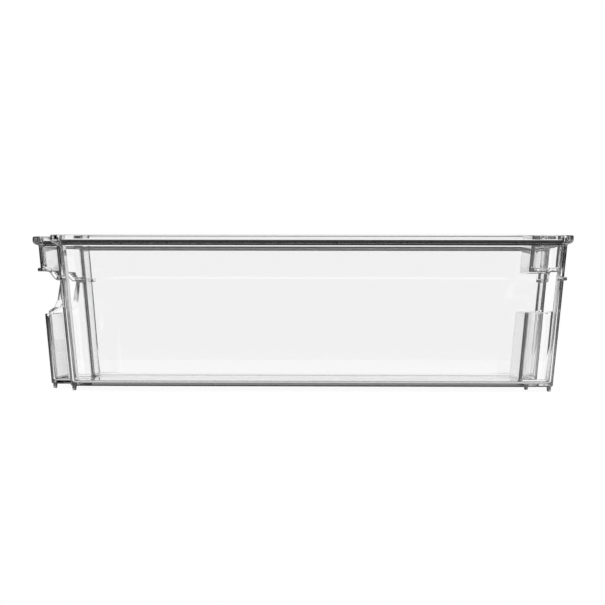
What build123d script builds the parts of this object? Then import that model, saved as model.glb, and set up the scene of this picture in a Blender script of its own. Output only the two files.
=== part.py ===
"""A clear fridge drawer organizer: one injection moulding, in its natural regions.

X runs along the bin: the grip end stands out at -X and the docking end is set back at +X.
Z is up from the table. The origin is under the middle of the overall box. Sizes are in mm.
"""
from build123d import *
import os
from math import atan2, radians, tan

# Overall box, over the rim and down to the feet
overall_length = 317.5
overall_width = 160.0
overall_height = 90.0

# Moulded wall and floor, and the lean in degrees that lets the part leave its mould
wall = 2.0
floor_thickness = 1.9
end_draft = 5.5
side_draft = 4.0
step_draft = 1.0

# Plan shape: ears at the four corners, a grip that stands out, a dock that is set back
grip_projection = 15.5
dock_depth = 16.0
dock_clearance = 1.0
ear_width = 38.0
ear_corner_radius = 4.6
step_corner_radius = 4.4
hollow_corner_radius = 4.5

# Rim round the whole stepped outline
rim_overhang = 3.0
rim_edge = 3.6
rim_edge_round = 1.5
rim_inner_round = 0.6
rim_cove = 3.4
rim_cove_steps = 4

# Floor pan
base_round = 0.9
floor_fillet = 1.6
pan_upstand = 0.4

# Openings under the grip bar and the dock bar, and how far below its top each lip drops on the ears
opening_top = 69.3
opening_shoulder = 5.3
opening_round = 1.2

# The grip's opening wraps on to the step walls: depths from the end face, rises from its lower edge
grip_opening_height = 25.0
grip_opening_depth = 10.6
grip_opening_flat = 0.8
grip_opening_low_depth = 7.0
grip_opening_low_rise = 3.9
grip_opening_mid_depth = 8.8
grip_opening_mid_rise = 8.0
grip_shoulder_start = 5.0

# How much deeper the grip's opening lies on the inside of the wall, as the mould shuts on a slant
grip_flare = 4.1
grip_shoulder_flare = 6.0

# The dock's opening runs through both step walls and round their corners to the ears' faces
dock_opening_height = 23.7
dock_opening_flat = 8.5
dock_opening_step_end = 12.5
dock_opening_step_rise = 1.2
dock_opening_corner = 2.4
dock_opening_ear_gap = 0.3
dock_opening_wrap = 3.0

# How far the bars and end panels reach along the step walls
end_piece_depth = 8.0

# Lip over each opening, which drops to the ears and runs on round their corners
lip_height = 2.1
lip_projection = 1.8
lip_fade = 0.5
lip_wrap = 4.2
lip_bend = 1.5
grip_lip_drop_start = 5.0
grip_lip_drop_end = 11.0
dock_lip_level_run = 6.0
dock_lip_drop_run = 8.0

# Feet under the corners of the plan
foot_height = 2.6
foot_diameter = 2.9
foot_tip_diameter = 2.3
foot_tip_chamfer = 0.5
foot_inset = 2.4

# Places worked out from the sizes above
floor_top = foot_height + floor_thickness
pan_top = floor_top + floor_fillet + pan_upstand
rim_bottom = overall_height - rim_edge - rim_cove
grip_opening_bottom = opening_top - grip_opening_height
dock_opening_bottom = opening_top - dock_opening_height
opening_middle = opening_top - grip_opening_height / 2
ear_lip_bottom = opening_top - opening_shoulder
front_ear_x = -overall_length / 2 + rim_overhang + grip_projection
rear_ear_x = overall_length / 2 - rim_overhang
half_width = overall_width / 2 - rim_overhang
grip_half_width = half_width - ear_width
dock_half_width = grip_half_width + dock_clearance

# How far a cutting shape runs past what it cuts, and how close a level has to match
cut_margin = 1.0
flare_margin = 0.4
cut_reach = 3 * wall
level_match = 0.01


def lean(z, draft):
    """How far a drafted wall has moved in at height z."""
    return (overall_height - z) * tan(radians(draft))


def front_ear(z):
    """Outer face of the two ears at the grip end."""
    return front_ear_x + lean(z, end_draft)


def rear_ear(z):
    """Outer face of the two ears at the docking end."""
    return rear_ear_x - lean(z, end_draft)


def grip_face(z):
    """Outer face of the grip, which stands out beyond its ears."""
    return front_ear(z) - grip_projection


def dock_face(z):
    """Outer face of the dock, which is set back between its ears."""
    return rear_ear(z) - dock_depth


def side_face(z):
    return half_width - lean(z, side_draft)


def grip_side(z):
    return grip_half_width - lean(z, step_draft)


def dock_side(z):
    return dock_half_width + lean(z, step_draft)


def rounded_face(corners):
    """A flat face from (point, corner radius) pairs, in order."""
    points = [point for point, _ in corners]
    radii = [radius for _, radius in corners]
    return Face(Wire(FilletPolyline(*points, radius=radii, close=True).edges()))


def flat_face(*points):
    """A flat face with straight sides."""
    return Face(Wire(Polyline(*points, close=True).edges()))


def plan_corners(z, inset=0.0, side_inset=None, lean_z=None):
    """The stepped plan's corners at height z, moved into the wall by inset, with their radii."""
    side_inset = inset if side_inset is None else side_inset
    lean_z = z if lean_z is None else lean_z
    ear_front = front_ear(lean_z) + inset
    ear_rear = rear_ear(lean_z) - inset
    grip_x = grip_face(lean_z) + inset
    dock_x = dock_face(lean_z) - inset
    side = side_face(lean_z) - side_inset
    grip = grip_side(lean_z) - inset
    dock = dock_side(lean_z) + inset
    ear_round = ear_corner_radius - inset
    step_round = step_corner_radius - inset
    hollow_round = hollow_corner_radius + inset
    return [
        ((ear_rear, dock, z), step_round),
        ((dock_x, dock, z), hollow_round),
        ((dock_x, -dock, z), hollow_round),
        ((ear_rear, -dock, z), step_round),
        ((ear_rear, -side, z), ear_round),
        ((ear_front, -side, z), ear_round),
        ((ear_front, -grip, z), hollow_round),
        ((grip_x, -grip, z), step_round),
        ((grip_x, grip, z), step_round),
        ((ear_front, grip, z), hollow_round),
        ((ear_front, side, z), ear_round),
        ((ear_rear, side, z), ear_round),
    ]


def outline(z, inset=0.0, lean_z=None):
    """The stepped plan at height z as a face."""
    return rounded_face(plan_corners(z, inset, lean_z=lean_z))


def ruled_solid(*sections):
    """A solid through a stack of matching faces."""
    return loft(sections, ruled=True).solid()


def drafted_block(z_low, z_high, inset=0.0, side_inset=None):
    """A solid with the stepped plan, flat drafted walls and rounded corners."""
    low = plan_corners(z_low, inset, side_inset)
    high = plan_corners(z_high, inset, side_inset)
    faces = [flat_face(*[point for point, _ in low]), flat_face(*[point for point, _ in high])]
    for here in range(len(low)):
        start, end = low[here - 1][0], low[here][0]
        above_end, above_start = high[here][0], high[here - 1][0]
        faces.append(flat_face(start, end, above_end, above_start))
    block = Solid(Shell(faces))
    for (foot, radius), (head, _) in zip(low, high):
        middle = (Vector(*foot) + Vector(*head)) / 2
        block = fillet(block.edges().sort_by_distance(middle)[0], radius).solid()
    return block


def loop_at(solid, z):
    """The edges that lie at height z."""
    return solid.edges().filter_by_position(Axis.Z, z - level_match, z + level_match)


def floor_pan():
    """The floor with its rounded base edge and the fillet up to the walls."""
    outer = drafted_block(foot_height, pan_top)
    outer = fillet(loop_at(outer, foot_height), base_round).solid()
    hollow = drafted_block(floor_top, pan_top + cut_margin, wall)
    hollow = fillet(loop_at(hollow, floor_top), floor_fillet).solid()
    return (outer - hollow).solid()


def rim_bead():
    """The rounded rim, the cove that carries it and the top of the wall inside it."""
    rim_low = overall_height - rim_edge
    edge_face = outline(rim_low, -rim_overhang, lean_z=overall_height)
    edge = extrude(edge_face, rim_edge, dir=(0, 0, 1)).solid()
    edge = fillet(loop_at(edge, rim_low), rim_edge_round).solid()
    edge = fillet(loop_at(edge, overall_height), rim_edge_round).solid()
    under = rim_overhang - rim_edge_round
    shares = [step / rim_cove_steps for step in range(rim_cove_steps + 1)]
    cove = ruled_solid(*[outline(rim_bottom + rim_cove * share, -under * share**2) for share in shares])
    hollow = ruled_solid(outline(rim_bottom - cut_margin, wall), outline(overall_height, wall))
    mouth = ruled_solid(
        outline(overall_height - rim_inner_round, wall),
        outline(overall_height + cut_margin, wall - rim_inner_round - cut_margin),
    )
    return (edge + cove - hollow - mouth).solid()


def grip_opening_profile(y, share):
    """Side view of the grip's opening at one Y, moved by a share of its flares."""
    face_x = grip_face(opening_middle)
    ahead = face_x - cut_reach
    low = grip_opening_bottom
    deeper = share * grip_flare
    shoulder_x = face_x + grip_shoulder_start + share * grip_shoulder_flare
    return rounded_face([
        ((ahead, y, low), 0),
        ((face_x + grip_opening_flat + deeper, y, low), opening_round),
        ((face_x + grip_opening_low_depth + deeper, y, low + grip_opening_low_rise), opening_round),
        ((face_x + grip_opening_mid_depth + deeper, y, low + grip_opening_mid_rise), opening_round),
        ((face_x + grip_opening_depth + deeper, y, ear_lip_bottom), opening_round),
        ((shoulder_x, y, opening_top), opening_round),
        ((ahead, y, opening_top), 0),
    ])


def grip_opening():
    """Cuts the grip's face and both step walls, wider on the inside, as the mould shuts off."""
    beyond = flare_margin / wall
    outer_y = grip_side(opening_middle) + flare_margin
    inner_y = grip_side(opening_middle) - wall - flare_margin
    sides = []
    for sign in (-1, 1):
        outer = grip_opening_profile(sign * outer_y, -beyond)
        inner = grip_opening_profile(sign * inner_y, 1 + beyond)
        sides.append(ruled_solid(outer, inner))
    face_x = grip_face(opening_middle)
    middle = extrude(flat_face(
        (face_x - cut_reach, -inner_y, grip_opening_bottom),
        (face_x + cut_reach, -inner_y, grip_opening_bottom),
        (face_x + cut_reach, -inner_y, opening_top),
        (face_x - cut_reach, -inner_y, opening_top),
    ), 2 * inner_y, dir=(0, 1, 0)).solid()
    return sides + [middle]


def dock_opening():
    """Cuts the dock's face, both step walls and their outer corners in one straight pass."""
    face_x = dock_face(opening_middle)
    ahead = face_x - cut_reach
    low = dock_opening_bottom
    raised = low + dock_opening_step_rise
    half = dock_side(opening_middle) + dock_opening_wrap
    profile = rounded_face([
        ((ahead, -half, low), 0),
        ((face_x + dock_opening_flat, -half, low), dock_opening_corner),
        ((face_x + dock_opening_step_end, -half, raised), dock_opening_corner),
        ((rear_ear(raised) - dock_opening_ear_gap, -half, raised), dock_opening_corner),
        ((rear_ear(opening_top) - dock_opening_ear_gap, -half, opening_top), opening_round),
        ((ahead, -half, opening_top), 0),
    ])
    return extrude(profile, 2 * half, dir=(0, 1, 0)).solid()


def end_region(face, start, end, z_low, z_high, half_y):
    """A leaning block that follows an end face, to divide the standing wall."""
    section = flat_face(
        (face(z_low) + start, -half_y, z_low),
        (face(z_low) + end, -half_y, z_low),
        (face(z_high) + end, -half_y, z_high),
        (face(z_high) + start, -half_y, z_high),
    )
    return extrude(section, 2 * half_y, dir=(0, 1, 0)).solid()


def standing_walls():
    """The wall ring with both openings cut, divided into sides, bars and end panels."""
    hollow = drafted_block(pan_top - cut_margin, rim_bottom + cut_margin, wall)
    ring = drafted_block(pan_top, rim_bottom) - hollow
    for cutter in grip_opening() + [dock_opening()]:
        ring = ring - cutter
    grip_across = grip_half_width + cut_reach
    dock_across = dock_half_width + cut_reach
    above = (opening_middle, rim_bottom + cut_margin)
    below = (pan_top - cut_margin, opening_middle)
    ends = {
        "grip_bar": (grip_face, *above, grip_across),
        "grip_panel": (grip_face, *below, grip_across),
        "dock_bar": (dock_face, *above, dock_across),
        "dock_panel": (dock_face, *below, dock_across),
    }
    pieces = {}
    for name, (face, z_low, z_high, half_y) in ends.items():
        region = end_region(face, -cut_reach, end_piece_depth, z_low, z_high, half_y)
        pieces[name] = (ring & region).solid()
        ring = ring - region
    sides = ring.solids().sort_by(Axis.Y)
    pieces["side_wall_left"] = sides[0]
    pieces["side_wall_right"] = sides[-1]
    return pieces


def dropped_band(start, drop_start, drop_run, end, place, across, way):
    """A level strip that drops by the shoulder's height part of the way along.

    place(distance, z) puts a point on one face of the strip, and way and across extrude it.
    """
    drop_end = drop_start + drop_run
    mitre = lip_height * tan(atan2(opening_shoulder, drop_run) / 2)
    low, high = ear_lip_bottom, opening_top
    band = rounded_face([
        (place(start, high), 0),
        (place(drop_start, high), lip_bend),
        (place(drop_end, low), lip_bend),
        (place(end, low), 0),
        (place(end, low + lip_height), 0),
        (place(drop_end + mitre, low + lip_height), lip_bend),
        (place(drop_start + mitre, high + lip_height), lip_bend),
        (place(start, high + lip_height), 0),
    ])
    return extrude(band, across, dir=way).solid()


def level_band(x_low, x_high, y_low, y_high, z):
    """A level strip as tall as the lip."""
    size = (x_high - x_low, y_high - y_low, lip_height)
    centre = ((x_low + x_high) / 2, (y_low + y_high) / 2, z + lip_height / 2)
    return Pos(*centre) * Box(*size)


def grip_lip_strip():
    """Where the grip's lip is: it drops along the step walls, then runs level round the ears."""
    middle = ear_lip_bottom + lip_height / 2
    ear_x = front_ear(middle)
    ear_middle = half_width - ear_width / 2
    face_x = grip_face(opening_top)
    outside = half_width + cut_reach
    strip = dropped_band(
        face_x - cut_reach, face_x + grip_lip_drop_start, grip_lip_drop_end - grip_lip_drop_start,
        ear_x + cut_reach, lambda x, z: (x, -ear_middle, z), 2 * ear_middle, (0, 1, 0),
    )
    for low, high in ((ear_middle, outside), (-outside, -ear_middle)):
        strip = strip + level_band(ear_x - cut_reach, ear_x + lip_wrap, low, high, ear_lip_bottom)
    return strip


def dock_lip_strip():
    """Where the dock's lip is: level past the step walls, then it drops on the faces of the ears."""
    ear_x = rear_ear(ear_lip_bottom + lip_height / 2)
    face_x = dock_face(opening_top)
    level_half = dock_side(opening_top) + dock_lip_level_run
    outside = half_width + cut_reach
    strip = level_band(face_x - cut_reach, ear_x + cut_reach, -level_half, level_half, opening_top)
    for sign in (-1, 1):
        strip = strip + dropped_band(
            level_half - lip_bend, level_half, dock_lip_drop_run, outside,
            lambda y, z: (ear_x - lip_wrap, sign * y, z), lip_wrap + cut_reach, (1, 0, 0),
        )
    return strip


def opening_lips():
    """The lip at each end, on the outer face of the bars, the step walls and the ears."""
    z_low = ear_lip_bottom - cut_margin
    z_high = opening_top + lip_height + cut_margin
    skin = drafted_block(z_low, z_high, -lip_projection, -lip_fade) - drafted_block(z_low, z_high)
    strips = {"grip_lip": grip_lip_strip(), "dock_lip": dock_lip_strip()}
    return {name: (skin & strip).solids() for name, strip in strips.items()}


def feet(pan):
    """Eight small tapered pegs, seated on the underside of the pan."""
    z = foot_height
    places = [
        (front_ear(z) + foot_inset, side_face(z) - foot_inset),
        (rear_ear(z) - foot_inset, side_face(z) - foot_inset),
        (grip_face(z) + foot_inset, grip_side(z) - foot_inset),
        (dock_face(z) + foot_inset, dock_side(z) + foot_inset),
    ]
    blank_height = foot_height + base_round
    blank = Pos(0, 0, blank_height / 2) * Cone(foot_tip_diameter / 2, foot_diameter / 2, blank_height)
    blank = chamfer(loop_at(blank, 0), foot_tip_chamfer).solid()
    pegs = []
    for x, y in places:
        for sign in (-1, 1):
            pegs.append((Pos(x, sign * y, 0) * blank - pan).solids().sort_by(SortBy.VOLUME)[-1])
    return pegs


def build():
    """Every region of the moulding, by name."""
    pan = floor_pan()
    parts = {"floor_pan": [pan], "rim_bead": [rim_bead()], "feet": feet(pan)}
    parts.update({name: [piece] for name, piece in standing_walls().items()})
    parts.update(opening_lips())
    return parts


os.makedirs("parts", exist_ok=True)
for node, solids in build().items():
    export_step(Compound(children=list(solids)), f"parts/{node}.step")
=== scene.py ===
# %% [markdown]
# # A clear fridge bin
# The real object is one moulding in clear plastic: a long open bin with a rolled rim, a grip that stands
# out at one end and a set-back at the other. Nothing on it moves. What makes it hard to render is that
# every edge is seen through other walls, so the mesh has to be one closed body with no faces inside the
# plastic.

# %% Load the frame
from math import acos, asin, atan2, ceil, cos, pi, radians, sin, tan

import bmesh
import bpy
from mathutils import Matrix, Vector
from mathutils.geometry import delaunay_2d_cdt


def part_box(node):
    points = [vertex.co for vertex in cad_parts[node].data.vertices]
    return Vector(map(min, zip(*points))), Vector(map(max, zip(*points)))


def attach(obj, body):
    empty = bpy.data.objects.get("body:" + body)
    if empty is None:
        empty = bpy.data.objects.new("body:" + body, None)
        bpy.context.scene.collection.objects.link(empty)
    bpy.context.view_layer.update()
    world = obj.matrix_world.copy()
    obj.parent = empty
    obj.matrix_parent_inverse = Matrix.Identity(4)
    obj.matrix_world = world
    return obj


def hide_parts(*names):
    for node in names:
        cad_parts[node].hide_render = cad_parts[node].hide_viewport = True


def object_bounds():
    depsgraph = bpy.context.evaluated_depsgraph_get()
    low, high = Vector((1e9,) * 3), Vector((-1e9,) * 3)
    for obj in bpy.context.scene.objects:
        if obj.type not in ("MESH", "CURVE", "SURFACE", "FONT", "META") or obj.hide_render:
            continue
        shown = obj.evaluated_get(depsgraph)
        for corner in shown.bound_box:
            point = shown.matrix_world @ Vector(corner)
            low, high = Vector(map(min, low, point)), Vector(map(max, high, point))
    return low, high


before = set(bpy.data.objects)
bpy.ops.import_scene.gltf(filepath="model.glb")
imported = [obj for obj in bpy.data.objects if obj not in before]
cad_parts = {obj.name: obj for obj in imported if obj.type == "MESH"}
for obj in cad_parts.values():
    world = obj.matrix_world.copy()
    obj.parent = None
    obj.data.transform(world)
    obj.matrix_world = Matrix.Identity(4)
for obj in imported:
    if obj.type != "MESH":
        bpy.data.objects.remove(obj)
cad_box = [list(corner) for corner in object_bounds()]
mm = 0.001


def in_mm(*lengths):
    return [round(length / mm, 2) for length in lengths]


print("nodes:", len(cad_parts), "box, mm:", [in_mm(*corner) for corner in cad_box])

# %% [markdown]
# ## The sizes of the moulding
# Levels and overall sizes are read from the frame, so the looks stay on the model. The rest are the
# moulding's own wall, leans and radii. Mould makers lean each wall a few degrees so that the part slides
# off its core.

# %% Levels from the frame
low, high = (Vector(corner) for corner in cad_box)
height = high.z
foot_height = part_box("floor_pan")[0].z
rim_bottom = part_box("rim_bead")[0].z
lip_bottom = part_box("grip_lip")[0].z
lip_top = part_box("grip_lip")[1].z
print("levels, mm:", in_mm(foot_height, lip_bottom, lip_top, rim_bottom, height))

# %% Wall, leans and radii
wall = 2.0 * mm
floor_thickness = 1.9 * mm
end_draft = 5.5
side_draft = 4.0
step_draft = 1.0
grip_projection = 15.5 * mm
dock_depth = 16.0 * mm
dock_clearance = 1.0 * mm
ear_width = 38.0 * mm
ear_round = 4.6 * mm
step_round = 4.4 * mm
hollow_round = 4.5 * mm
base_round = 0.9 * mm
floor_fillet = 1.6 * mm
rim_overhang = 3.0 * mm
rim_edge = 5.0 * mm
rim_lower_round = 2.7 * mm
rim_upper_round = 0.6 * mm
rim_inner_round = 0.6 * mm
floor_top = foot_height + floor_thickness
rim_low = height - rim_edge
half_width = high.y - rim_overhang
grip_half = half_width - ear_width
dock_half = grip_half + dock_clearance
print("half widths of bin, grip and dock, mm:", in_mm(half_width, grip_half, dock_half))


# %% [markdown]
# ## The stepped plan
# At every height the plan is the same twelve corners, moved in by the lean. Each corner turns by a right
# angle, so one formula gives any point of its arc, for the corners that stand out and for the hollow ones
# alike. A drawn curve would do for one height, but the lean changes every corner on the way down.

# %% Where the leaning faces are at a height
def lean(z, draft):
    return (height - z) * tan(radians(draft))


def front_ear(z):
    return low.x + rim_overhang + grip_projection + lean(z, end_draft)


def rear_ear(z):
    return high.x - rim_overhang - lean(z, end_draft)


def side_face(z):
    return half_width - lean(z, side_draft)


print("faces at the floor, mm:", in_mm(front_ear(floor_top), rear_ear(floor_top), side_face(floor_top)))


# %% The twelve corners of the plan
def corners(z, inset=0.0):
    """(x, y, heading in, heading out, radius) for each corner, anticlockwise from above."""
    ear_x = front_ear(z) + inset
    rear_x = rear_ear(z) - inset
    grip_x = front_ear(z) - grip_projection + inset
    dock_x = rear_ear(z) - dock_depth - inset
    side = side_face(z) - inset
    grip = grip_half - lean(z, step_draft) - inset
    dock = dock_half + lean(z, step_draft) + inset
    east, north, west, south = (1, 0), (0, 1), (-1, 0), (0, -1)
    ear, step, hollow = ear_round - inset, step_round - inset, hollow_round + inset
    return [
        (rear_x, -side, east, north, ear),
        (rear_x, -dock, north, west, step),
        (dock_x, -dock, west, north, hollow),
        (dock_x, dock, north, east, hollow),
        (rear_x, dock, east, north, step),
        (rear_x, side, north, west, ear),
        (ear_x, side, west, south, ear),
        (ear_x, grip, south, west, hollow),
        (grip_x, grip, west, south, step),
        (grip_x, -grip, south, east, step),
        (ear_x, -grip, east, south, hollow),
        (ear_x, -side, south, east, ear),
    ]


plan_corners = len(corners(height))
print("corners of the plan:", plan_corners)


# %% A point on the plan
def arc_point(corner, share, z):
    x, y, (ax, ay), (bx, by), r = corner
    s, c = sin(share * pi / 2), cos(share * pi / 2)
    return Vector((x - ax * r * (1 - s) + bx * r * (1 - c), y - ay * r * (1 - s) + by * r * (1 - c), z))


def on_plan(u, z, inset=0.0, lean_z=None):
    """Point at station u: corner k's arc runs from 2k to 2k + 1, and the straight after it to 2k + 2."""
    table = corners(z if lean_z is None else lean_z, inset)
    k, part = int(u // 2) % len(table), u % 2
    if part <= 1:
        return arc_point(table[k], part, z)
    following = table[(k + 1) % len(table)]
    return arc_point(table[k], 1, z).lerp(arc_point(following, 0, z), part - 1)


arc_steps = 10
stations = [2 * k + step / arc_steps for k in range(plan_corners) for step in range(arc_steps + 1)]
print("stations round the plan:", len(stations))


# %% [markdown]
# ## The section of the wall
# The section runs from the underside, round the base, up the outside, over the rim and down the inside to
# the floor. Each row is a height, a distance into the wall and the height whose lean it follows: the
# rim's edge is upright, so all of it follows the lean at the top. Below the rim the wall stays straight
# and turns out late, in a tight cove, which leaves a clear band of wall under the rim.

# %% Rows of the section
round_steps = 6
cove_steps = 6
cove_power = 5
patch_low = 40.0 * mm
patch_high = 75.0 * mm


def quarter(z, inset, rise, into, start, end):
    """Rows on a quarter round about (z, inset), between two angles in degrees."""
    rows = []
    for step in range(round_steps + 1):
        angle = radians(start + (end - start) * step / round_steps)
        rows.append((z + rise * sin(angle), inset + into * cos(angle)))
    return rows


base_rows = quarter(foot_height + base_round, base_round, base_round, base_round, -90, -180)
outer_rows = [(z, inset, z) for z, inset in base_rows]
outer_rows += [(z, 0.0, z) for z in (patch_low, patch_high)]
under = rim_overhang - rim_lower_round
for step in range(cove_steps + 1):
    share = step / cove_steps
    z = rim_bottom + (rim_low - rim_bottom) * share
    late = share**cove_power
    outer_rows.append((z, -under * late, z + (height - z) * late))
lower_round = quarter(rim_low + rim_lower_round, -under, rim_lower_round, rim_lower_round, -90, -180)
rim_middle = rim_upper_round - rim_overhang
upper_round = quarter(height - rim_upper_round, rim_middle, rim_upper_round, rim_upper_round, 180, 90)
wall_middle = wall - rim_inner_round
inner_round = quarter(height - rim_inner_round, wall_middle, rim_inner_round, rim_inner_round, 90, 0)
outer_rows += [(z, inset, height) for z, inset in lower_round[1:] + upper_round + inner_round]
inner_rows = [(z, wall, z) for z in (patch_high, patch_low)]
floor_round = quarter(floor_top + floor_fillet, wall + floor_fillet, floor_fillet, floor_fillet, 180, 270)
inner_rows += [(z, inset, z) for z, inset in floor_round]
section = outer_rows + inner_rows
outer_patch_row = next(n for n, row in enumerate(section) if row[0] == patch_low and row[1] == 0)
inner_patch_row = next(n for n, row in enumerate(section) if row[0] == patch_high and row[1] == wall)
print("rows in the section:", len(section))

# %% [markdown]
# ## The openings
# The grip's hand opening wraps from the end face round onto the step walls, and gets wider through the
# wall, as the two halves of a mould shut against each other on a slant. The dock's runs on through the
# corners of the ears. Cutting them with a boolean leaves ragged edges on round walls, so each edge is
# worked out instead: one closed loop for each depth into the wall, and the wall's surface is filled round
# the first and the last loop.

# %% Sizes of the openings
lip_height = 2.1 * mm
grip_opening_height = 25.0 * mm
dock_opening_height = 23.7 * mm
opening_top = lip_top - lip_height
opening_middle = opening_top - grip_opening_height / 2
opening_round = 1.2 * mm
opening_edge_round = 0.5 * mm
grip_opening_bottom = opening_top - grip_opening_height
dock_opening_bottom = opening_top - dock_opening_height
print("openings, mm:", in_mm(grip_opening_bottom, dock_opening_bottom, opening_top))

# %% Corners of the two outlines, as distances from the end face and rises from the lower edge
grip_flat = 0.8 * mm
grip_low_depth = 7.0 * mm
grip_low_rise = 3.9 * mm
grip_mid_depth = 8.8 * mm
grip_mid_rise = 8.0 * mm
grip_tip_depth = 10.6 * mm
grip_shoulder_depth = 5.0 * mm
grip_flare = 4.1 * mm
grip_shoulder_flare = 6.0 * mm
dock_flat = 8.5 * mm
dock_step_end = 12.5 * mm
dock_step_rise = 1.2 * mm
dock_bend = 2.4 * mm
dock_corner = 1.8 * mm
dock_ear_gap = 0.3 * mm
dock_wrap = 3.0 * mm
print("depth of the grip's opening outside and inside, mm:",
      in_mm(grip_tip_depth, grip_tip_depth + grip_flare))

# %% Where a point of an opening is on the plan
# station in the middle of each end face, and which way the stations run on the side with y above 0
end_middles = {"grip": (17.5, -1), "dock": (5.5, 1)}


def end_parts(end, z, inset):
    """For one end: face x, radius of the arc beside the face, start and radius of the ear's arc."""
    if end == "grip":
        face = front_ear(z) - grip_projection + inset
        near, ear = step_round - inset, hollow_round + inset
        ear_start = front_ear(z) + inset - ear
    else:
        face = rear_ear(z) - dock_depth - inset
        near, ear = hollow_round + inset, step_round - inset
        ear_start = rear_ear(z) - inset - ear
    return face, near, ear_start, ear


def station_of(end, side, q):
    """q is 0 in the middle of the end face, 1 to 2 on its near arc and 3 to 4 on the ear's arc."""
    middle, way = end_middles[end]
    way *= side
    if q <= 1:
        return middle + way * q / 2
    return middle + way * (0.5 + (q - 1))


def share_at(end, x, z, inset):
    """The q of the point whose x is given."""
    face, near, ear_start, ear = end_parts(end, z, inset)
    if x < face + near:
        return 1 + acos(min(1, 1 - (x - face) / near)) / (pi / 2)
    if x < ear_start:
        return 2 + (x - face - near) / (ear_start - face - near)
    return 3 + asin(min(1, (x - ear_start) / ear)) / (pi / 2)


print("middles of the end faces, as stations:", {end: middle for end, (middle, _) in end_middles.items()})

# %% A chain of straight runs with rounded corners
corner_steps = 5
run_steps = 10


def rounded_chain(corner_list):
    """(point, left-hand normal) pairs along the runs, from (x, z, radius) corners."""
    points = [Vector((x, z)) for x, z, _ in corner_list]
    last = len(points) - 1
    arcs = [[(points[0], None)]]
    for n in range(1, last):
        here, radius = points[n], corner_list[n][2]
        a = (here - points[n - 1]).normalized()
        b = (points[n + 1] - here).normalized()
        turn = atan2(a.x * b.y - a.y * b.x, a.dot(b))
        back = radius * tan(abs(turn) / 2)
        normal = Vector((-a.y, a.x)) * (1 if turn > 0 else -1)
        centre = here - a * back + normal * radius
        arc = []
        for step in range(corner_steps + 1):
            bend = Matrix.Rotation(turn * step / corner_steps, 2)
            arc.append((centre + bend @ (-normal * radius), bend @ Vector((-a.y, a.x))))
        arcs.append(arc)
    arcs.append([(points[-1], None)])
    samples = []
    for n, (arc, following) in enumerate(zip(arcs, arcs[1:])):
        start, end = arc[-1][0], following[0][0]
        run = (end - start).normalized()
        across = Vector((-run.y, run.x))
        samples += [(point, across if normal is None else normal) for point, normal in arc]
        for step in range(1, run_steps):
            share = step / run_steps
            if n == 0:
                share = share**2
            if n == last - 1:
                share = 1 - (1 - share)**2
            samples.append((start.lerp(end, share), across))
    samples.append((points[-1], across))
    return samples


print("points on a rounded square corner:", len(rounded_chain([(0, 0, 0), (1, 0, 0.2), (1, 1, 0)])))


# %% Outlines of the openings, seen from the side
def grip_outline(inset, share):
    """Corners of the grip's opening at a share of its flare."""
    face = front_ear(opening_middle) - grip_projection
    bottom, deeper = grip_opening_bottom, share * grip_flare
    shoulder = face + grip_shoulder_depth + share * grip_shoulder_flare
    return [
        (end_parts("grip", bottom, inset)[0], bottom, 0),
        (face + grip_flat + deeper, bottom, opening_round),
        (face + grip_low_depth + deeper, bottom + grip_low_rise, opening_round),
        (face + grip_mid_depth + deeper, bottom + grip_mid_rise, opening_round),
        (face + grip_tip_depth + deeper, lip_bottom, opening_round),
        (shoulder, opening_top, opening_round),
        (end_parts("grip", opening_top, inset)[0], opening_top, 0),
    ]


def dock_outline(inset):
    """Corners of the dock's opening, which is the same at every depth into the wall."""
    face = rear_ear(opening_middle) - dock_depth
    bottom, raised = dock_opening_bottom, dock_opening_bottom + dock_step_rise
    return [
        (end_parts("dock", bottom, inset)[0], bottom, 0),
        (face + dock_flat, bottom, dock_bend),
        (face + dock_step_end, raised, dock_bend),
        (rear_ear(raised) - dock_ear_gap, raised, dock_corner),
        (rear_ear(opening_top) - dock_ear_gap, opening_top, opening_round),
        (end_parts("dock", opening_top, inset)[0], opening_top, 0),
    ]


print("corners of the outlines:", len(grip_outline(0, 0)), len(dock_outline(0)))

# %% Half of an opening's edge at one depth into the wall
flare_rounds = 12


def grip_places(inset, grow):
    """(q, z) along half of the grip's opening, made larger by grow.

    The flare depends on how far round the hollow the point is, which depends on the flare, so the two
    are brought together in a few rounds.
    """
    still = [point - normal * grow for point, normal in rounded_chain(grip_outline(inset, 0))]
    moved = [point - normal * grow for point, normal in rounded_chain(grip_outline(inset, 1))]
    places = []
    for near, far in zip(still, moved):
        share = inset / wall
        for _ in range(flare_rounds):
            x, z = near.lerp(far, share)
            q = share_at("grip", x, z, inset)
            y = on_plan(station_of("grip", 1, q), z, inset).y
            deep = (grip_half - lean(z, step_draft) - y) / wall
            share = (share + max(0, min(inset / wall, deep))) / 2
        places.append((q, z))
    return places


def dock_places(inset, grow):
    """(q, z) along half of the dock's opening, held back to where its straight cut ends on the ear."""
    stop_y = dock_half + lean(opening_middle, step_draft) + dock_wrap + grow
    places = []
    for point, normal in rounded_chain(dock_outline(inset)):
        x, z = point - normal * grow
        start_y = dock_half + lean(z, step_draft) + inset
        turn = acos(1 - (stop_y - start_y) / (step_round - inset))
        places.append((min(share_at("dock", x, z, inset), 3 + turn / (pi / 2)), z))
    return places


print("points on half an edge:", len(grip_places(0, 0)), len(dock_places(0, 0)))

# %% The whole loop round an opening
face_steps = 8


def opening_loop(end, inset, grow):
    """(side, q, z) round the opening at one depth into the wall."""
    places = grip_places(inset, grow) if end == "grip" else dock_places(inset, grow)
    bottom, top = places[0][1], places[-1][1]
    half = [(step / face_steps, bottom) for step in range(face_steps)] + places
    half += [(step / face_steps, top) for step in range(face_steps - 1, -1, -1)]
    loop = [(1, q, z) for q, z in half]
    loop += [(-1, q, z) for q, z in reversed(half[1:-1])]
    return loop


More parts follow.
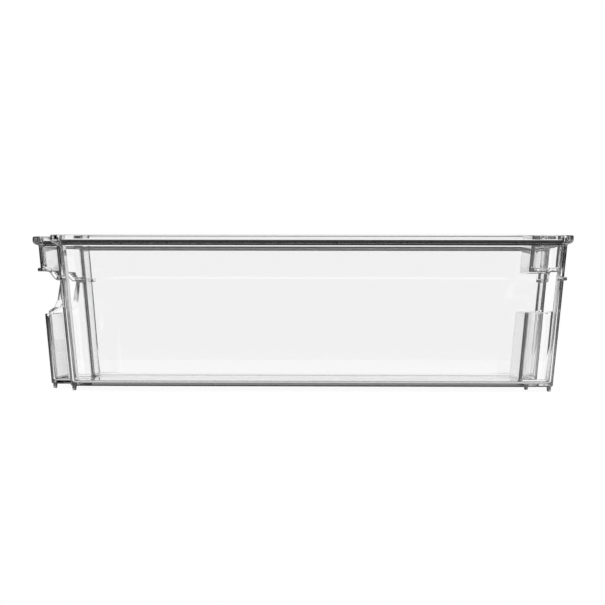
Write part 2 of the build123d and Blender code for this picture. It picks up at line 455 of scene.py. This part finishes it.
def loop_points(end, inset, loop):
    return [on_plan(station_of(end, side, q), z, inset) for side, q, z in loop]


print("points round an opening:", len(opening_loop("grip", 0, 0)), len(opening_loop("dock", 0, 0)))


# %% [markdown]
# ## Filling the wall round a loop
# The wall near an opening is unrolled flat, like paper off a tin. There a triangle fill runs between the
# patch's border and the loop, and each corner is put back on the round wall. Extra points on the arcs
# keep round walls round, because long triangles would cut across them.

# %% Unrolled position
def unrolled(end, side, q, z, inset):
    """Distance from the middle of the end face along the wall, and height."""
    face, near, ear_start, ear = end_parts(end, opening_middle, inset)
    half = (grip_half if end == "grip" else dock_half) - near
    lengths = (half, near * pi / 2, max(ear_start - face - near, mm), ear * pi / 2)
    reach = sum(length * max(0, min(1, q - n)) for n, length in enumerate(lengths))
    return Vector((side * reach, z))


def inside_loop(point, loop):
    """Whether a point lies inside a closed loop, by crossings."""
    inside = False
    for a, b in zip(loop, loop[1:] + loop[:1]):
        if (a.y > point.y) != (b.y > point.y):
            if point.x < a.x + (point.y - a.y) * (b.x - a.x) / (b.y - a.y):
                inside = not inside
    return inside


print("unrolled reach of the patches, mm:", in_mm(*(unrolled(end, 1, 4, 0, 0).x for end in end_middles)))

# %% Border and free points of a patch
free_step = 0.75 * mm
free_rise = 1.3 * mm
free_gap = 0.4 * mm
fewest_columns = 3


def patch_columns():
    """(side, q) of each station of the plan that a patch covers, from one side to the other."""
    columns = []
    for side in (-1, 1):
        steps = [1 + n / arc_steps for n in range(arc_steps + 1)]
        steps += [3 + n / arc_steps for n in range(arc_steps + 1)]
        columns += [(side, q) for q in (reversed(steps) if side < 0 else steps)]
    return columns


def free_places(end, inset, hole):
    """(side, q, z) of the points on the arcs that lie clear of the loop."""
    _, near, _, ear = end_parts(end, opening_middle, inset)
    rows = int((patch_high - patch_low) / free_rise)
    places = []
    for side in (-1, 1):
        for start, radius, closing in ((1, near, 1), (3, ear, 0)):
            count = max(fewest_columns, ceil(radius * pi / 2 / free_step))
            for n in range(count + closing):
                for row in range(1, rows):
                    z = patch_low + (patch_high - patch_low) * row / rows
                    place = (side, start + n / count, z)
                    point = unrolled(end, *place, inset)
                    gap = min((point - other).length for other in hole)
                    if gap >= free_gap and not inside_loop(point, hole):
                        places.append(place)
    return places


print("columns across a patch:", len(patch_columns()))

# %% Fill a patch of wall round its opening
fill_tolerance = 1e-9


def patch_mesh(end, inset, loop):
    """Corner positions and triangles of the wall patch at this inset, with the loop left open."""
    columns = patch_columns()
    border = [(side, q, patch_low) for side, q in columns]
    border += [(side, q, patch_high) for side, q in reversed(columns)]
    hole = [unrolled(end, *place, inset) for place in loop]
    places = border + loop + free_places(end, inset, hole)
    flat = [unrolled(end, *place, inset) for place in places]
    count = len(border)
    edges = [(n, (n + 1) % count) for n in range(count)]
    edges += [(count + n, count + (n + 1) % len(loop)) for n in range(len(loop))]
    points, _, faces, origins, _, _ = delaunay_2d_cdt(flat, edges, [], 0, fill_tolerance)
    source = [min(group) for group in origins]
    triangles = []
    for face in faces:
        middle = sum((points[n] for n in face), Vector((0, 0))) / len(face)
        if inside_loop(middle, flat[:count]) and not inside_loop(middle, hole):
            triangles.append([source[n] for n in face])
    spots = [on_plan(station_of(end, side, q), z, inset) for side, q, z in places]
    return spots, triangles


print("triangles round the grip's opening:", len(patch_mesh("grip", 0, opening_loop("grip", 0, 0))[1]))


# %% [markdown]
# ## The shell as one closed mesh
# The rows and stations make a grid of quads. Where an opening is, the grid is left out on both faces of
# the wall and the filled patches take its place, joined by the loops through the wall. Doubled points are
# merged, so what comes out is one closed body. Solidify would be shorter, but it can't give the floor,
# the rim and the flared openings their own sections.

# %% The grid of quads
# first and last corner of the plan that the patch of each end covers
patch_corners = {"grip": (7, 10), "dock": (1, 4)}
left_out = set()
for first, last in patch_corners.values():
    left_out.update(range(first * (arc_steps + 1), last * (arc_steps + 1) + arc_steps))
print("columns left to the patches:", len(left_out), "of", len(stations))


def add_grid(mesh):
    grid = []
    for z, inset, lean_z in section:
        grid.append([mesh.verts.new(on_plan(u, z, inset, lean_z)) for u in stations])
    for row in range(len(section) - 1):
        for n in range(len(stations)):
            if n in left_out and row in (outer_patch_row, inner_patch_row):
                continue
            m = (n + 1) % len(stations)
            mesh.faces.new((grid[row][n], grid[row][m], grid[row + 1][m], grid[row + 1][n]))
    mesh.faces.new(reversed(grid[0]))
    mesh.faces.new(grid[-1])


# %% The edge of an opening, rounded on both sides of the wall
edge_steps = 4
edge_turns = [step / edge_steps * pi / 2 for step in range(edge_steps + 1)]
edge_depths = [(opening_edge_round * (1 - cos(t)), opening_edge_round * (1 - sin(t))) for t in edge_turns]
edge_depths += [(wall - opening_edge_round * (1 - sin(t)), opening_edge_round * (1 - cos(t)))
                for t in edge_turns]


def add_opening(mesh, end):
    rings = []
    for inset, grow in edge_depths:
        loop = opening_loop(end, inset, grow)
        rings.append([mesh.verts.new(point) for point in loop_points(end, inset, loop)])
        if inset in (edge_depths[0][0], edge_depths[-1][0]):
            spots, triangles = patch_mesh(end, inset, loop)
            verts = [mesh.verts.new(spot) for spot in spots]
            for triangle in triangles:
                mesh.faces.new([verts[n] for n in triangle])
    for ring, deeper in zip(rings, rings[1:]):
        for n in range(len(ring)):
            m = (n + 1) % len(ring)
            mesh.faces.new((ring[n], ring[m], deeper[m], deeper[n]))


print("depths of the edge, mm:", in_mm(*(inset for inset, _ in edge_depths)))

# %% Build the shell
merge_distance = 0.004 * mm


def build_shell():
    mesh = bmesh.new()
    add_grid(mesh)
    for end in patch_corners:
        add_opening(mesh, end)
    bmesh.ops.remove_doubles(mesh, verts=mesh.verts, dist=merge_distance)
    bmesh.ops.recalc_face_normals(mesh, faces=mesh.faces)
    unclosed = sum(len(edge.link_faces) != 2 for edge in mesh.edges)
    print("shell faces:", len(mesh.faces), "edges not closed:", unclosed)
    data = bpy.data.meshes.new("clear_bin")
    mesh.to_mesh(data)
    mesh.free()
    shell = bpy.data.objects.new("clear_bin", data)
    bpy.context.scene.collection.objects.link(shell)
    return shell


bin_shell = build_shell()

# %% [markdown]
# ## Lips, swept by Geometry Nodes
# A thin lip stiffens the top of each opening. It is level over the opening, drops to the ears and fades
# out round their corners, so it is a sweep: a path on the wall and a small rounded section. Geometry
# Nodes sweep it, and the path is worked out from the same plan as the wall. Its inner side lies in the
# wall, so that the two can be joined.

# %% Sizes of the lips
lip_projection = 1.8 * mm
lip_root = 0.4 * mm
lip_fade = 0.5 * mm
lip_wrap = 4.2 * mm
lip_corner = 0.5 * mm
lip_corner_steps = 3
# how far along each lip its drop starts and ends
lip_drops ={"grip": (5.0 * mm, 11.0 * mm), "dock": (6.0 * mm, 14.0 * mm)}
print("lip section, mm:", in_mm(lip_projection + lip_root, lip_height))


# %% A tree that sweeps a rounded bar along its path
def sweep_tree(name):
    tree = bpy.data.node_groups.new(name, "GeometryNodeTree")
    tree.interface.new_socket("Path", in_out="INPUT", socket_type="NodeSocketGeometry")
    for label in ("Width", "Height", "Corner"):
        tree.interface.new_socket(label, in_out="INPUT", socket_type="NodeSocketFloat")
    tree.interface.new_socket("Material", in_out="INPUT", socket_type="NodeSocketMaterial")
    tree.interface.new_socket("Bar", in_out="OUTPUT", socket_type="NodeSocketGeometry")
    nodes, links = tree.nodes, tree.links
    given = nodes.new("NodeGroupInput")
    to_curve = nodes.new("GeometryNodeMeshToCurve")
    upright = nodes.new("GeometryNodeSetCurveNormal")
    upright.mode = "Z_UP"
    profile = nodes.new("GeometryNodeCurvePrimitiveQuadrilateral")
    fillet = nodes.new("GeometryNodeFilletCurve")
    fillet.mode = "POLY"
    fillet.inputs["Count"].default_value = lip_corner_steps
    sweep = nodes.new("GeometryNodeCurveToMesh")
    sweep.inputs["Fill Caps"].default_value = True
    realize = nodes.new("GeometryNodeRealizeInstances")
    paint = nodes.new("GeometryNodeSetMaterial")
    result = nodes.new("NodeGroupOutput")
    links.new(given.outputs["Path"], to_curve.inputs["Mesh"])
    links.new(to_curve.outputs["Curve"], upright.inputs["Curve"])
    links.new(given.outputs["Width"], profile.inputs["Width"])
    links.new(given.outputs["Height"], profile.inputs["Height"])
    links.new(profile.outputs["Curve"], fillet.inputs["Curve"])
    links.new(given.outputs["Corner"], fillet.inputs["Radius"])
    links.new(upright.outputs["Curve"], sweep.inputs["Curve"])
    links.new(fillet.outputs["Curve"], sweep.inputs["Profile Curve"])
    links.new(sweep.outputs["Mesh"], realize.inputs["Geometry"])
    links.new(realize.outputs["Geometry"], paint.inputs["Geometry"])
    links.new(given.outputs["Material"], paint.inputs["Material"])
    links.new(paint.outputs["Geometry"], result.inputs["Bar"])
    return tree


lip_tree = sweep_tree("swept_lip")
print("nodes in the lip's tree:", len(lip_tree.nodes))


# %% Run a tree on a mesh and keep the result
def run_tree(name, data, tree, values):
    """An object whose mesh is what the tree makes of data, with the modifier used up."""
    piece = bpy.data.objects.new(name, data)
    bpy.context.scene.collection.objects.link(piece)
    modifier = piece.modifiers.new("build", "NODES")
    modifier.node_group = tree
    for item in tree.interface.items_tree:
        if item.name in values:
            modifier[item.identifier] = values[item.name]
    view = bpy.context.evaluated_depsgraph_get()
    made = bpy.data.meshes.new_from_object(piece.evaluated_get(view), depsgraph=view)
    piece.modifiers.clear()
    piece.data = made
    return piece


# %% Height of a lip along its path
def eased(share):
    """0 to 1 with soft ends."""
    share = max(0.0, min(1.0, share))
    return share * share * (3 - 2 * share)


def lip_height_at(end, point):
    """Middle height of the lip: the grip's drops along the step wall, the dock's on the ear's face."""
    start, stop = lip_drops[end]
    if end == "grip":
        along = point.x - end_parts("grip", opening_top, 0)[0]
    else:
        along = abs(point.y) - dock_half - lean(opening_top, step_draft)
    middle = opening_top + lip_height / 2
    return middle + (lip_bottom + lip_height / 2 - middle) * eased((along - start) / (stop - start))


print("drop of the lips, mm:", in_mm(opening_top - lip_bottom))

# %% Paths of the lips
path_step = 0.02
path_gap = 0.3 * mm
settle_rounds = 3
# first station of each path, the station where its last arc starts, and the faces that its ends run round
lip_spans ={"grip": (12, 22, front_ear), "dock": (0, 10, rear_ear)}


def lip_path(end):
    """Points of the lip's path from one long side round the end to the other."""
    first, last, ear_x = lip_spans[end]
    out = -(lip_projection - lip_root) / 2
    points = []
    for n in range(round((last + 1 - first) / path_step) + 1):
        u = first + n * path_step
        corner = max(first + 1 - u, u - last, 0)
        inset = out + (lip_projection - lip_fade) * eased(corner)
        z = opening_top
        for _ in range(settle_rounds):
            z = lip_height_at(end, on_plan(u, z, inset))
        point = on_plan(u, z, inset)
        if abs(point.x - ear_x(z)) > lip_wrap and corner > 0:
            continue
        if not points or (point - points[-1]).length > path_gap:
            points.append(point)
    return points


def path_mesh(name, points):
    data = bpy.data.meshes.new(name)
    data.from_pydata(points, [(n, n + 1) for n in range(len(points) - 1)], [])
    return data


lip_values = {"Width": lip_projection + lip_root, "Height": lip_height, "Corner": lip_corner}
lips = []
for end in lip_spans:
    path = path_mesh(f"{end}_lip_path", lip_path(end))
    lips.append(run_tree(f"{end}_lip_bar", path, lip_tree, lip_values))
    print(lips[-1].name, "faces:", len(lips[-1].data.polygons))

# %% [markdown]
# ## Feet, placed by Geometry Nodes
# Eight small pegs keep the floor off the shelf. They are all alike, so one turned peg is made and a tree
# places it on eight points, under the corners of the plan.

# %% One foot
foot_radius = 1.45 * mm
foot_tip_radius = 1.15 * mm
foot_tip_round = 0.6 * mm
foot_inset = 2.4 * mm
foot_sides = 24


def turned_mesh(name, profile, sides):
    """A closed turned mesh from (radius, height) pairs."""
    mesh = bmesh.new()
    rings = []
    for radius, z in profile:
        turns = [2 * pi * n / sides for n in range(sides)]
        rings.append([mesh.verts.new((radius * cos(t), radius * sin(t), z)) for t in turns])
    for ring, upper in zip(rings, rings[1:]):
        for n in range(sides):
            m = (n + 1) % sides
            mesh.faces.new((ring[n], ring[m], upper[m], upper[n]))
    mesh.faces.new(reversed(rings[0]))
    mesh.faces.new(rings[-1])
    data = bpy.data.meshes.new(name)
    mesh.to_mesh(data)
    mesh.free()
    return data


foot_flat = foot_tip_radius - foot_tip_round
foot_profile = []
for step in range(round_steps + 1):
    angle = step / round_steps * pi / 2
    foot_profile.append((foot_flat + foot_tip_round * sin(angle), foot_tip_round * (1 - cos(angle))))
foot_profile.append((foot_radius, foot_height + base_round))
foot = bpy.data.objects.new("foot_blank", turned_mesh("foot_blank", foot_profile, foot_sides))
print("faces of one foot:", len(foot.data.polygons))


# %% A tree that places the foot
def place_tree(name):
    tree = bpy.data.node_groups.new(name, "GeometryNodeTree")
    tree.interface.new_socket("Points", in_out="INPUT", socket_type="NodeSocketGeometry")
    tree.interface.new_socket("Piece", in_out="INPUT", socket_type="NodeSocketObject")
    tree.interface.new_socket("Material", in_out="INPUT", socket_type="NodeSocketMaterial")
    tree.interface.new_socket("Pieces", in_out="OUTPUT", socket_type="NodeSocketGeometry")
    nodes, links = tree.nodes, tree.links
    given = nodes.new("NodeGroupInput")
    piece = nodes.new("GeometryNodeObjectInfo")
    place = nodes.new("GeometryNodeInstanceOnPoints")
    realize = nodes.new("GeometryNodeRealizeInstances")
    paint = nodes.new("GeometryNodeSetMaterial")
    result = nodes.new("NodeGroupOutput")
    links.new(given.outputs["Points"], place.inputs["Points"])
    links.new(given.outputs["Piece"], piece.inputs["Object"])
    links.new(piece.outputs["Geometry"], place.inputs["Instance"])
    links.new(place.outputs["Instances"], realize.inputs["Geometry"])
    links.new(realize.outputs["Geometry"], paint.inputs["Geometry"])
    links.new(given.outputs["Material"], paint.inputs["Material"])
    links.new(paint.outputs["Geometry"], result.inputs["Pieces"])
    return tree


foot_places = [
    (front_ear(foot_height) + foot_inset, side_face(foot_height) - foot_inset),
    (rear_ear(foot_height) - foot_inset, side_face(foot_height) - foot_inset),
    (front_ear(foot_height) - grip_projection + foot_inset,
     grip_half - lean(foot_height, step_draft) - foot_inset),
    (rear_ear(foot_height) - dock_depth + foot_inset,
     dock_half + lean(foot_height, step_draft) + foot_inset),
]
foot_points = bpy.data.meshes.new("foot_points")
foot_points.from_pydata([(x, side * y, 0) for x, y in foot_places for side in (-1, 1)], [], [])
feet = run_tree("feet_group", foot_points, place_tree("placed_feet"), {"Piece": foot})
print("feet faces:", len(feet.data.polygons))

# %% [markdown]
# ## One body
# Clear plastic shows every face, so lips and feet that only overlapped the wall would draw their hidden
# sides through it. A boolean union joins them, which leaves one skin round all of the plastic. Weighted
# normals then keep the flat walls optically flat beside tight rounds.

# %% Join lips and feet to the shell
flat_wall_weight = 100
for piece in [*lips, feet]:
    union = bin_shell.modifiers.new("join", "BOOLEAN")
    union.operation = "UNION"
    union.solver = "MANIFOLD"
    union.object = piece
weighted = bin_shell.modifiers.new("flat_walls", "WEIGHTED_NORMAL")
weighted.weight = flat_wall_weight
for piece in [bin_shell, *lips, feet]:
    for polygon in piece.data.polygons:
        polygon.use_smooth = True
view = bpy.context.evaluated_depsgraph_get()
joined = bpy.data.meshes.new_from_object(
    bin_shell.evaluated_get(view), preserve_all_data_layers=True, depsgraph=view)
bin_shell.modifiers.clear()
bin_shell.data = joined
for piece in [*lips, feet, foot]:
    bpy.data.objects.remove(piece)
print("joined faces:", len(bin_shell.data.polygons))

# %% Check that the body is closed
test = bmesh.new()
test.from_mesh(bin_shell.data)
open_edges = sum(len(edge.link_faces) != 2 for edge in test.edges)
volume = test.calc_volume() / (10 * mm)**3
print("open edges:", open_edges, "volume, cm3:", round(volume, 1))
test.free()

# %% [markdown]
# ## The clear plastic
# The plastic is glass-like: it transmits all it doesn't reflect, and takes a little of the light for each
# millimetre on the way. A wall is thin and stays clear. The floor seen from its edge looks dark, because
# that light has gone the whole width of the bin through the plastic. Painted shade also darkens the base
# colour by angle, so that edges seen along their surface look dark. Moulded plastic is also never quite
# flat, so a faint slow bump bends what is seen through it. A transparent shader would be quicker, but it
# doesn't bend the view, and the bending is what draws the edges.

# %% A group for the slow waves of moulded plastic
wave_detail = 2.0


def flow_group():
    group = bpy.data.node_groups.new("moulding_waves", "ShaderNodeTree")
    group.interface.new_socket("Scale", in_out="INPUT", socket_type="NodeSocketFloat")
    group.interface.new_socket("Stretch", in_out="INPUT", socket_type="NodeSocketFloat")
    group.interface.new_socket("Height", in_out="OUTPUT", socket_type="NodeSocketFloat")
    nodes, links = group.nodes, group.links
    given = nodes.new("NodeGroupInput")
    place = nodes.new("ShaderNodeTexCoord")
    stretch = nodes.new("ShaderNodeVectorMath")
    stretch.operation = "MULTIPLY"
    ratio = nodes.new("ShaderNodeCombineXYZ")
    noise = nodes.new("ShaderNodeTexNoise")
    noise.inputs["Detail"].default_value = wave_detail
    result = nodes.new("NodeGroupOutput")
    links.new(given.outputs["Stretch"], ratio.inputs["X"])
    ratio.inputs["Y"].default_value = 1.0
    ratio.inputs["Z"].default_value = 1.0
    links.new(place.outputs["Object"], stretch.inputs[0])
    links.new(ratio.outputs["Vector"], stretch.inputs[1])
    links.new(stretch.outputs["Vector"], noise.inputs["Vector"])
    links.new(given.outputs["Scale"], noise.inputs["Scale"])
    links.new(noise.outputs["Fac"], result.inputs["Height"])
    return group


waves_group = flow_group()
print("group:", waves_group.name)

# %% The material
plastic_ior = 1.57
plastic_absorption = 12.0
facing_blend = 0.5
# painted shade: from this Facing on, the base colour darkens so that edges seen along their surface look
# dark
edge_shade_start = 0.45
edge_shade_end = 0.9
edge_shade_clear = 1.0
edge_shade_dark = 0.5
wave_scale = 45.0
wave_stretch = 0.5
wave_strength = 0.15
wave_depth = 0.05 * mm


def clear_plastic():
    material = bpy.data.materials.new("clear_plastic")
    material.use_nodes = True
    nodes, links = material.node_tree.nodes, material.node_tree.links
    shader = nodes["Principled BSDF"]
    shader.inputs["Transmission Weight"].default_value = 1.0
    shader.inputs["IOR"].default_value = plastic_ior
    shader.inputs["Roughness"].default_value = 0.0
    # painted shade: Layer Weight's Facing darkens the base colour where the plastic is seen edge-on
    edge = nodes.new("ShaderNodeLayerWeight")
    edge.inputs["Blend"].default_value = facing_blend
    edge_shade = nodes.new("ShaderNodeValToRGB")
    clear, dark = edge_shade.color_ramp.elements
    clear.position = edge_shade_start
    clear.color = (edge_shade_clear, edge_shade_clear, edge_shade_clear, 1)
    dark.position = edge_shade_end
    dark.color = (edge_shade_dark, edge_shade_dark, edge_shade_dark, 1)
    links.new(edge.outputs["Facing"], edge_shade.inputs["Fac"])
    links.new(edge_shade.outputs["Color"], shader.inputs["Base Color"])
    depth = nodes.new("ShaderNodeVolumeAbsorption")
    depth.inputs["Color"].default_value = (0, 0, 0, 1)
    depth.inputs["Density"].default_value = plastic_absorption
    links.new(depth.outputs["Volume"], nodes["Material Output"].inputs["Volume"])
    waves = nodes.new("ShaderNodeGroup")
    waves.node_tree = waves_group
    waves.inputs["Scale"].default_value = wave_scale
    waves.inputs["Stretch"].default_value = wave_stretch
    bump = nodes.new("ShaderNodeBump")
    bump.inputs["Strength"].default_value = wave_strength
    bump.inputs["Distance"].default_value = wave_depth
    links.new(waves.outputs["Height"], bump.inputs["Height"])
    links.new(bump.outputs["Normal"], shader.inputs["Normal"])
    return material


plastic = clear_plastic()
print("material:", plastic.name, "nodes:", len(plastic.node_tree.nodes))

# %% Dress the body and let it stand for the nodes
bin_shell.data.materials.clear()
bin_shell.data.materials.append(plastic)
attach(bin_shell, "root")
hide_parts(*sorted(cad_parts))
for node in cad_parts.values():
    node.data.materials.clear()
    node.data.materials.append(plastic)
print(bin_shell.name, "stands for", len(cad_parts), "nodes")


# %% [markdown]
# ## The studio
# The photo is lit from behind: a white panel fills the view and the rest of the room is dark. Flat walls
# let the panel through and stay light. Edges bend the view past the panel's border, so they go dark.
# White panels stand on all four sides here, with dark between them and above, so that the bin reads the
# same way from each side. The photo's left end has thinner dark lines than its right, so the long panels
# reach further to the left. Lit planes would do as well, but in the world's shader a panel depends on
# direction alone, so every edge of the bin meets it at the same angle.

# %% Shader maths
def maths(tree, operation, a, b=None):
    """Output of a Math node fed by numbers or sockets."""
    node = tree.nodes.new("ShaderNodeMath")
    node.operation = operation
    for socket, value in zip(node.inputs, (a, b)):
        if isinstance(value, (int, float)):
            socket.default_value = value
        elif value is not None:
            tree.links.new(value, socket)
    return node.outputs[0]


def smooth(tree, value, start, end):
    """0 below start and 1 above end, with a soft step between."""
    node = tree.nodes.new("ShaderNodeMapRange")
    node.interpolation_type = "SMOOTHSTEP"
    node.inputs["From Min"].default_value = start
    node.inputs["From Max"].default_value = end
    tree.links.new(value, node.inputs["Value"])
    return node.outputs["Result"]


def past(tree, value, angle, soft):
    """How far the sine in value has gone past an angle in degrees, from 0 to 1."""
    return smooth(tree, value, sin(radians(angle)), sin(radians(angle + soft)))


# %% The room round the bin
panel_half_angle = 9.3
panel_left_angle = 18.0
panel_soft_angle = 1.5
panel_top_angle = 5.5
room_light = 0.75
# keeps a ray that goes straight up from being divided by 0
least_level = 1e-4


def build_world():
    world = bpy.data.worlds.new("studio")
    bpy.context.scene.world = world
    world.use_nodes = True
    tree = world.node_tree
    tree.nodes.clear()
    way = tree.nodes.new("ShaderNodeTexCoord")
    split = tree.nodes.new("ShaderNodeSeparateXYZ")
    tree.links.new(way.outputs["Generated"], split.inputs["Vector"])
    x, y, z = (split.outputs[axis] for axis in "XYZ")
    squares = maths(tree, "ADD", maths(tree, "MULTIPLY", x, x), maths(tree, "MULTIPLY", y, y))
    level = maths(tree, "MAXIMUM", maths(tree, "SQRT", squares), least_level)
    right = maths(tree, "DIVIDE", x, level)
    left = maths(tree, "MULTIPLY", right, -1)
    along = maths(tree, "ABSOLUTE", maths(tree, "DIVIDE", y, level))
    right_dark = past(tree, right, panel_half_angle, panel_soft_angle)
    left_dark = past(tree, left, panel_left_angle, panel_soft_angle)
    end_dark = past(tree, along, panel_half_angle, panel_soft_angle)
    side_dark = maths(tree, "MINIMUM", maths(tree, "MAXIMUM", right_dark, left_dark), end_dark)
    top_dark = past(tree, z, panel_top_angle, panel_soft_angle)
    panel = maths(tree, "SUBTRACT", 1.0, maths(tree, "MAXIMUM", side_dark, top_dark))
    path = tree.nodes.new("ShaderNodeLightPath")
    seen = maths(tree, "MAXIMUM", path.outputs["Is Glossy Ray"], path.outputs["Is Transmission Ray"])
    even = maths(tree, "MULTIPLY", maths(tree, "SUBTRACT", 1.0, seen), room_light)
    strength = maths(tree, "ADD", maths(tree, "MULTIPLY", seen, panel), even)
    shown = maths(tree, "MAXIMUM", strength, path.outputs["Is Camera Ray"])
    background = tree.nodes.new("ShaderNodeBackground")
    background.inputs["Color"].default_value = (1, 1, 1, 1)
    tree.links.new(shown, background.inputs["Strength"])
    result = tree.nodes.new("ShaderNodeOutputWorld")
    tree.links.new(background.outputs["Background"], result.inputs["Surface"])


build_world()
print("panels: half angle", panel_half_angle, "left", panel_left_angle, "top", panel_top_angle)

# %% [markdown]
# ## The table
# To the camera the table is white with a faint shadow. What the edges bend towards it counts as well. A
# few degrees below the horizon it is dark, except for a strip in front of and behind the bin that the
# long walls mirror. Further down it is white, so that the bin stays light from above, and the steep rays
# that the rim turns down find it a little darker. A table that is white to every ray would be simpler,
# but it lights the edges from below and the dark lines fade.

# %% How bright the table is to a bent ray
floor_glow = 0.94
floor_paint = 0.12
# (angle below the horizon in degrees, share of the light)
floor_shares = ((90, 1.0), (7.2, 1.0), (6.0, 0.0), (3.2, 0.0), (2.6, 1.0))
floor_steep = (35, 42)
floor_steep_share = 0.6
strip_half = 120 * mm
strip_soft = 20 * mm


def facing_at(angle):
    """What Layer Weight's Facing gives for a ray that meets the table at this angle in degrees."""
    return 1 - sin(radians(angle))


def bent_share(tree):
    """How much of the floor's light a bent ray finds, by its slope and by where it lands."""
    facing = tree.nodes.new("ShaderNodeLayerWeight")
    facing.inputs["Blend"].default_value = facing_blend
    rings = tree.nodes.new("ShaderNodeValToRGB")
    stops = rings.color_ramp.elements
    stops.remove(stops[1])
    for n, (angle, share) in enumerate(floor_shares):
        stop = stops[0] if n == 0 else stops.new(1.0)
        stop.position = facing_at(angle)
        stop.color = (share, share, share, 1)
    tree.links.new(facing.outputs["Facing"], rings.inputs["Fac"])
    place = tree.nodes.new("ShaderNodeTexCoord")
    split = tree.nodes.new("ShaderNodeSeparateXYZ")
    tree.links.new(place.outputs["Object"], split.inputs["Vector"])
    aside = maths(tree, "ABSOLUTE", split.outputs["X"])
    strip = maths(tree, "SUBTRACT", 1.0, smooth(tree, aside, strip_half, strip_half + strip_soft))
    lit = maths(tree, "MAXIMUM", rings.outputs["Color"], strip)
    shallow, steep = (facing_at(angle) for angle in floor_steep)
    gentle = smooth(tree, facing.outputs["Facing"], steep, shallow)
    return maths(tree, "MULTIPLY", lit, maths(tree, "MAXIMUM", gentle, floor_steep_share))


print("places on the ramp:", [round(facing_at(angle), 3) for angle, _ in floor_shares])

# %% The table itself
floor_radius = 0.6
floor_sides = 96


def table_material():
    material = bpy.data.materials.new("white_table")
    material.use_nodes = True
    tree = material.node_tree
    tree.nodes.clear()
    path = tree.nodes.new("ShaderNodeLightPath")
    either = maths(tree, "MAXIMUM", path.outputs["Is Glossy Ray"], path.outputs["Is Transmission Ray"])
    bent = maths(tree, "MULTIPLY", either, bent_share(tree))
    seen = maths(tree, "MAXIMUM", bent, path.outputs["Is Camera Ray"])
    glow = tree.nodes.new("ShaderNodeEmission")
    tree.links.new(maths(tree, "MULTIPLY", seen, floor_glow), glow.inputs["Strength"])
    paint = tree.nodes.new("ShaderNodeBsdfDiffuse")
    paint.inputs["Color"].default_value = (floor_paint, floor_paint, floor_paint, 1)
    both = tree.nodes.new("ShaderNodeAddShader")
    result = tree.nodes.new("ShaderNodeOutputMaterial")
    tree.links.new(paint.outputs["BSDF"], both.inputs[0])
    tree.links.new(glow.outputs["Emission"], both.inputs[1])
    tree.links.new(both.outputs["Shader"], result.inputs["Surface"])
    return material


def build_floor():
    mesh = bmesh.new()
    bmesh.ops.create_circle(mesh, cap_ends=True, radius=floor_radius, segments=floor_sides)
    data = bpy.data.meshes.new("floor")
    mesh.to_mesh(data)
    mesh.free()
    data.materials.append(table_material())
    floor = bpy.data.objects.new("floor", data)
    bpy.context.scene.collection.objects.link(floor)
    return floor


print("table:", build_floor().name, "radius, mm:", in_mm(floor_radius))

# %% [markdown]
# ## The camera
# The photo is square-on to the long side from a little above the middle of the bin, with a long lens.
# Place, turn and lens were found by fitting the photo's edge lines to the model.

# %% Camera
camera_place = (30.7 * mm, -1367 * mm, 52.6 * mm)
camera_lens = 133.6
camera_sensor = 36.0
camera_yaw = 1.236
camera_pitch = -0.064
camera_roll = 0.1
camera_data = bpy.data.cameras.new("camera")
camera_data.lens = camera_lens
camera_data.sensor_width = camera_sensor
camera = bpy.data.objects.new("camera", camera_data)
bpy.context.scene.collection.objects.link(camera)
turn = Matrix.Rotation(radians(camera_yaw), 4, "Z") @ Matrix.Rotation(radians(90 + camera_pitch), 4, "X")
turn = turn @ Matrix.Rotation(radians(camera_roll), 4, "Z")
camera.matrix_world = Matrix.Translation(camera_place) @ turn
bpy.context.scene.camera = camera
print("camera at, mm:", in_mm(*camera_place), "lens:", camera_lens)

# %% Colours as they are written, and enough bounces for five walls
clear_bounces = 32
mirror_bounces = 16
bpy.context.scene.view_settings.view_transform = "Standard"
bpy.context.scene.cycles.max_bounces = clear_bounces
bpy.context.scene.cycles.transmission_bounces = clear_bounces
bpy.context.scene.cycles.glossy_bounces = mirror_bounces
print("bounces:", clear_bounces, mirror_bounces)

# %% [markdown]
# ## Finish

# %% Bring the scene up to date
bpy.context.view_layer.update()
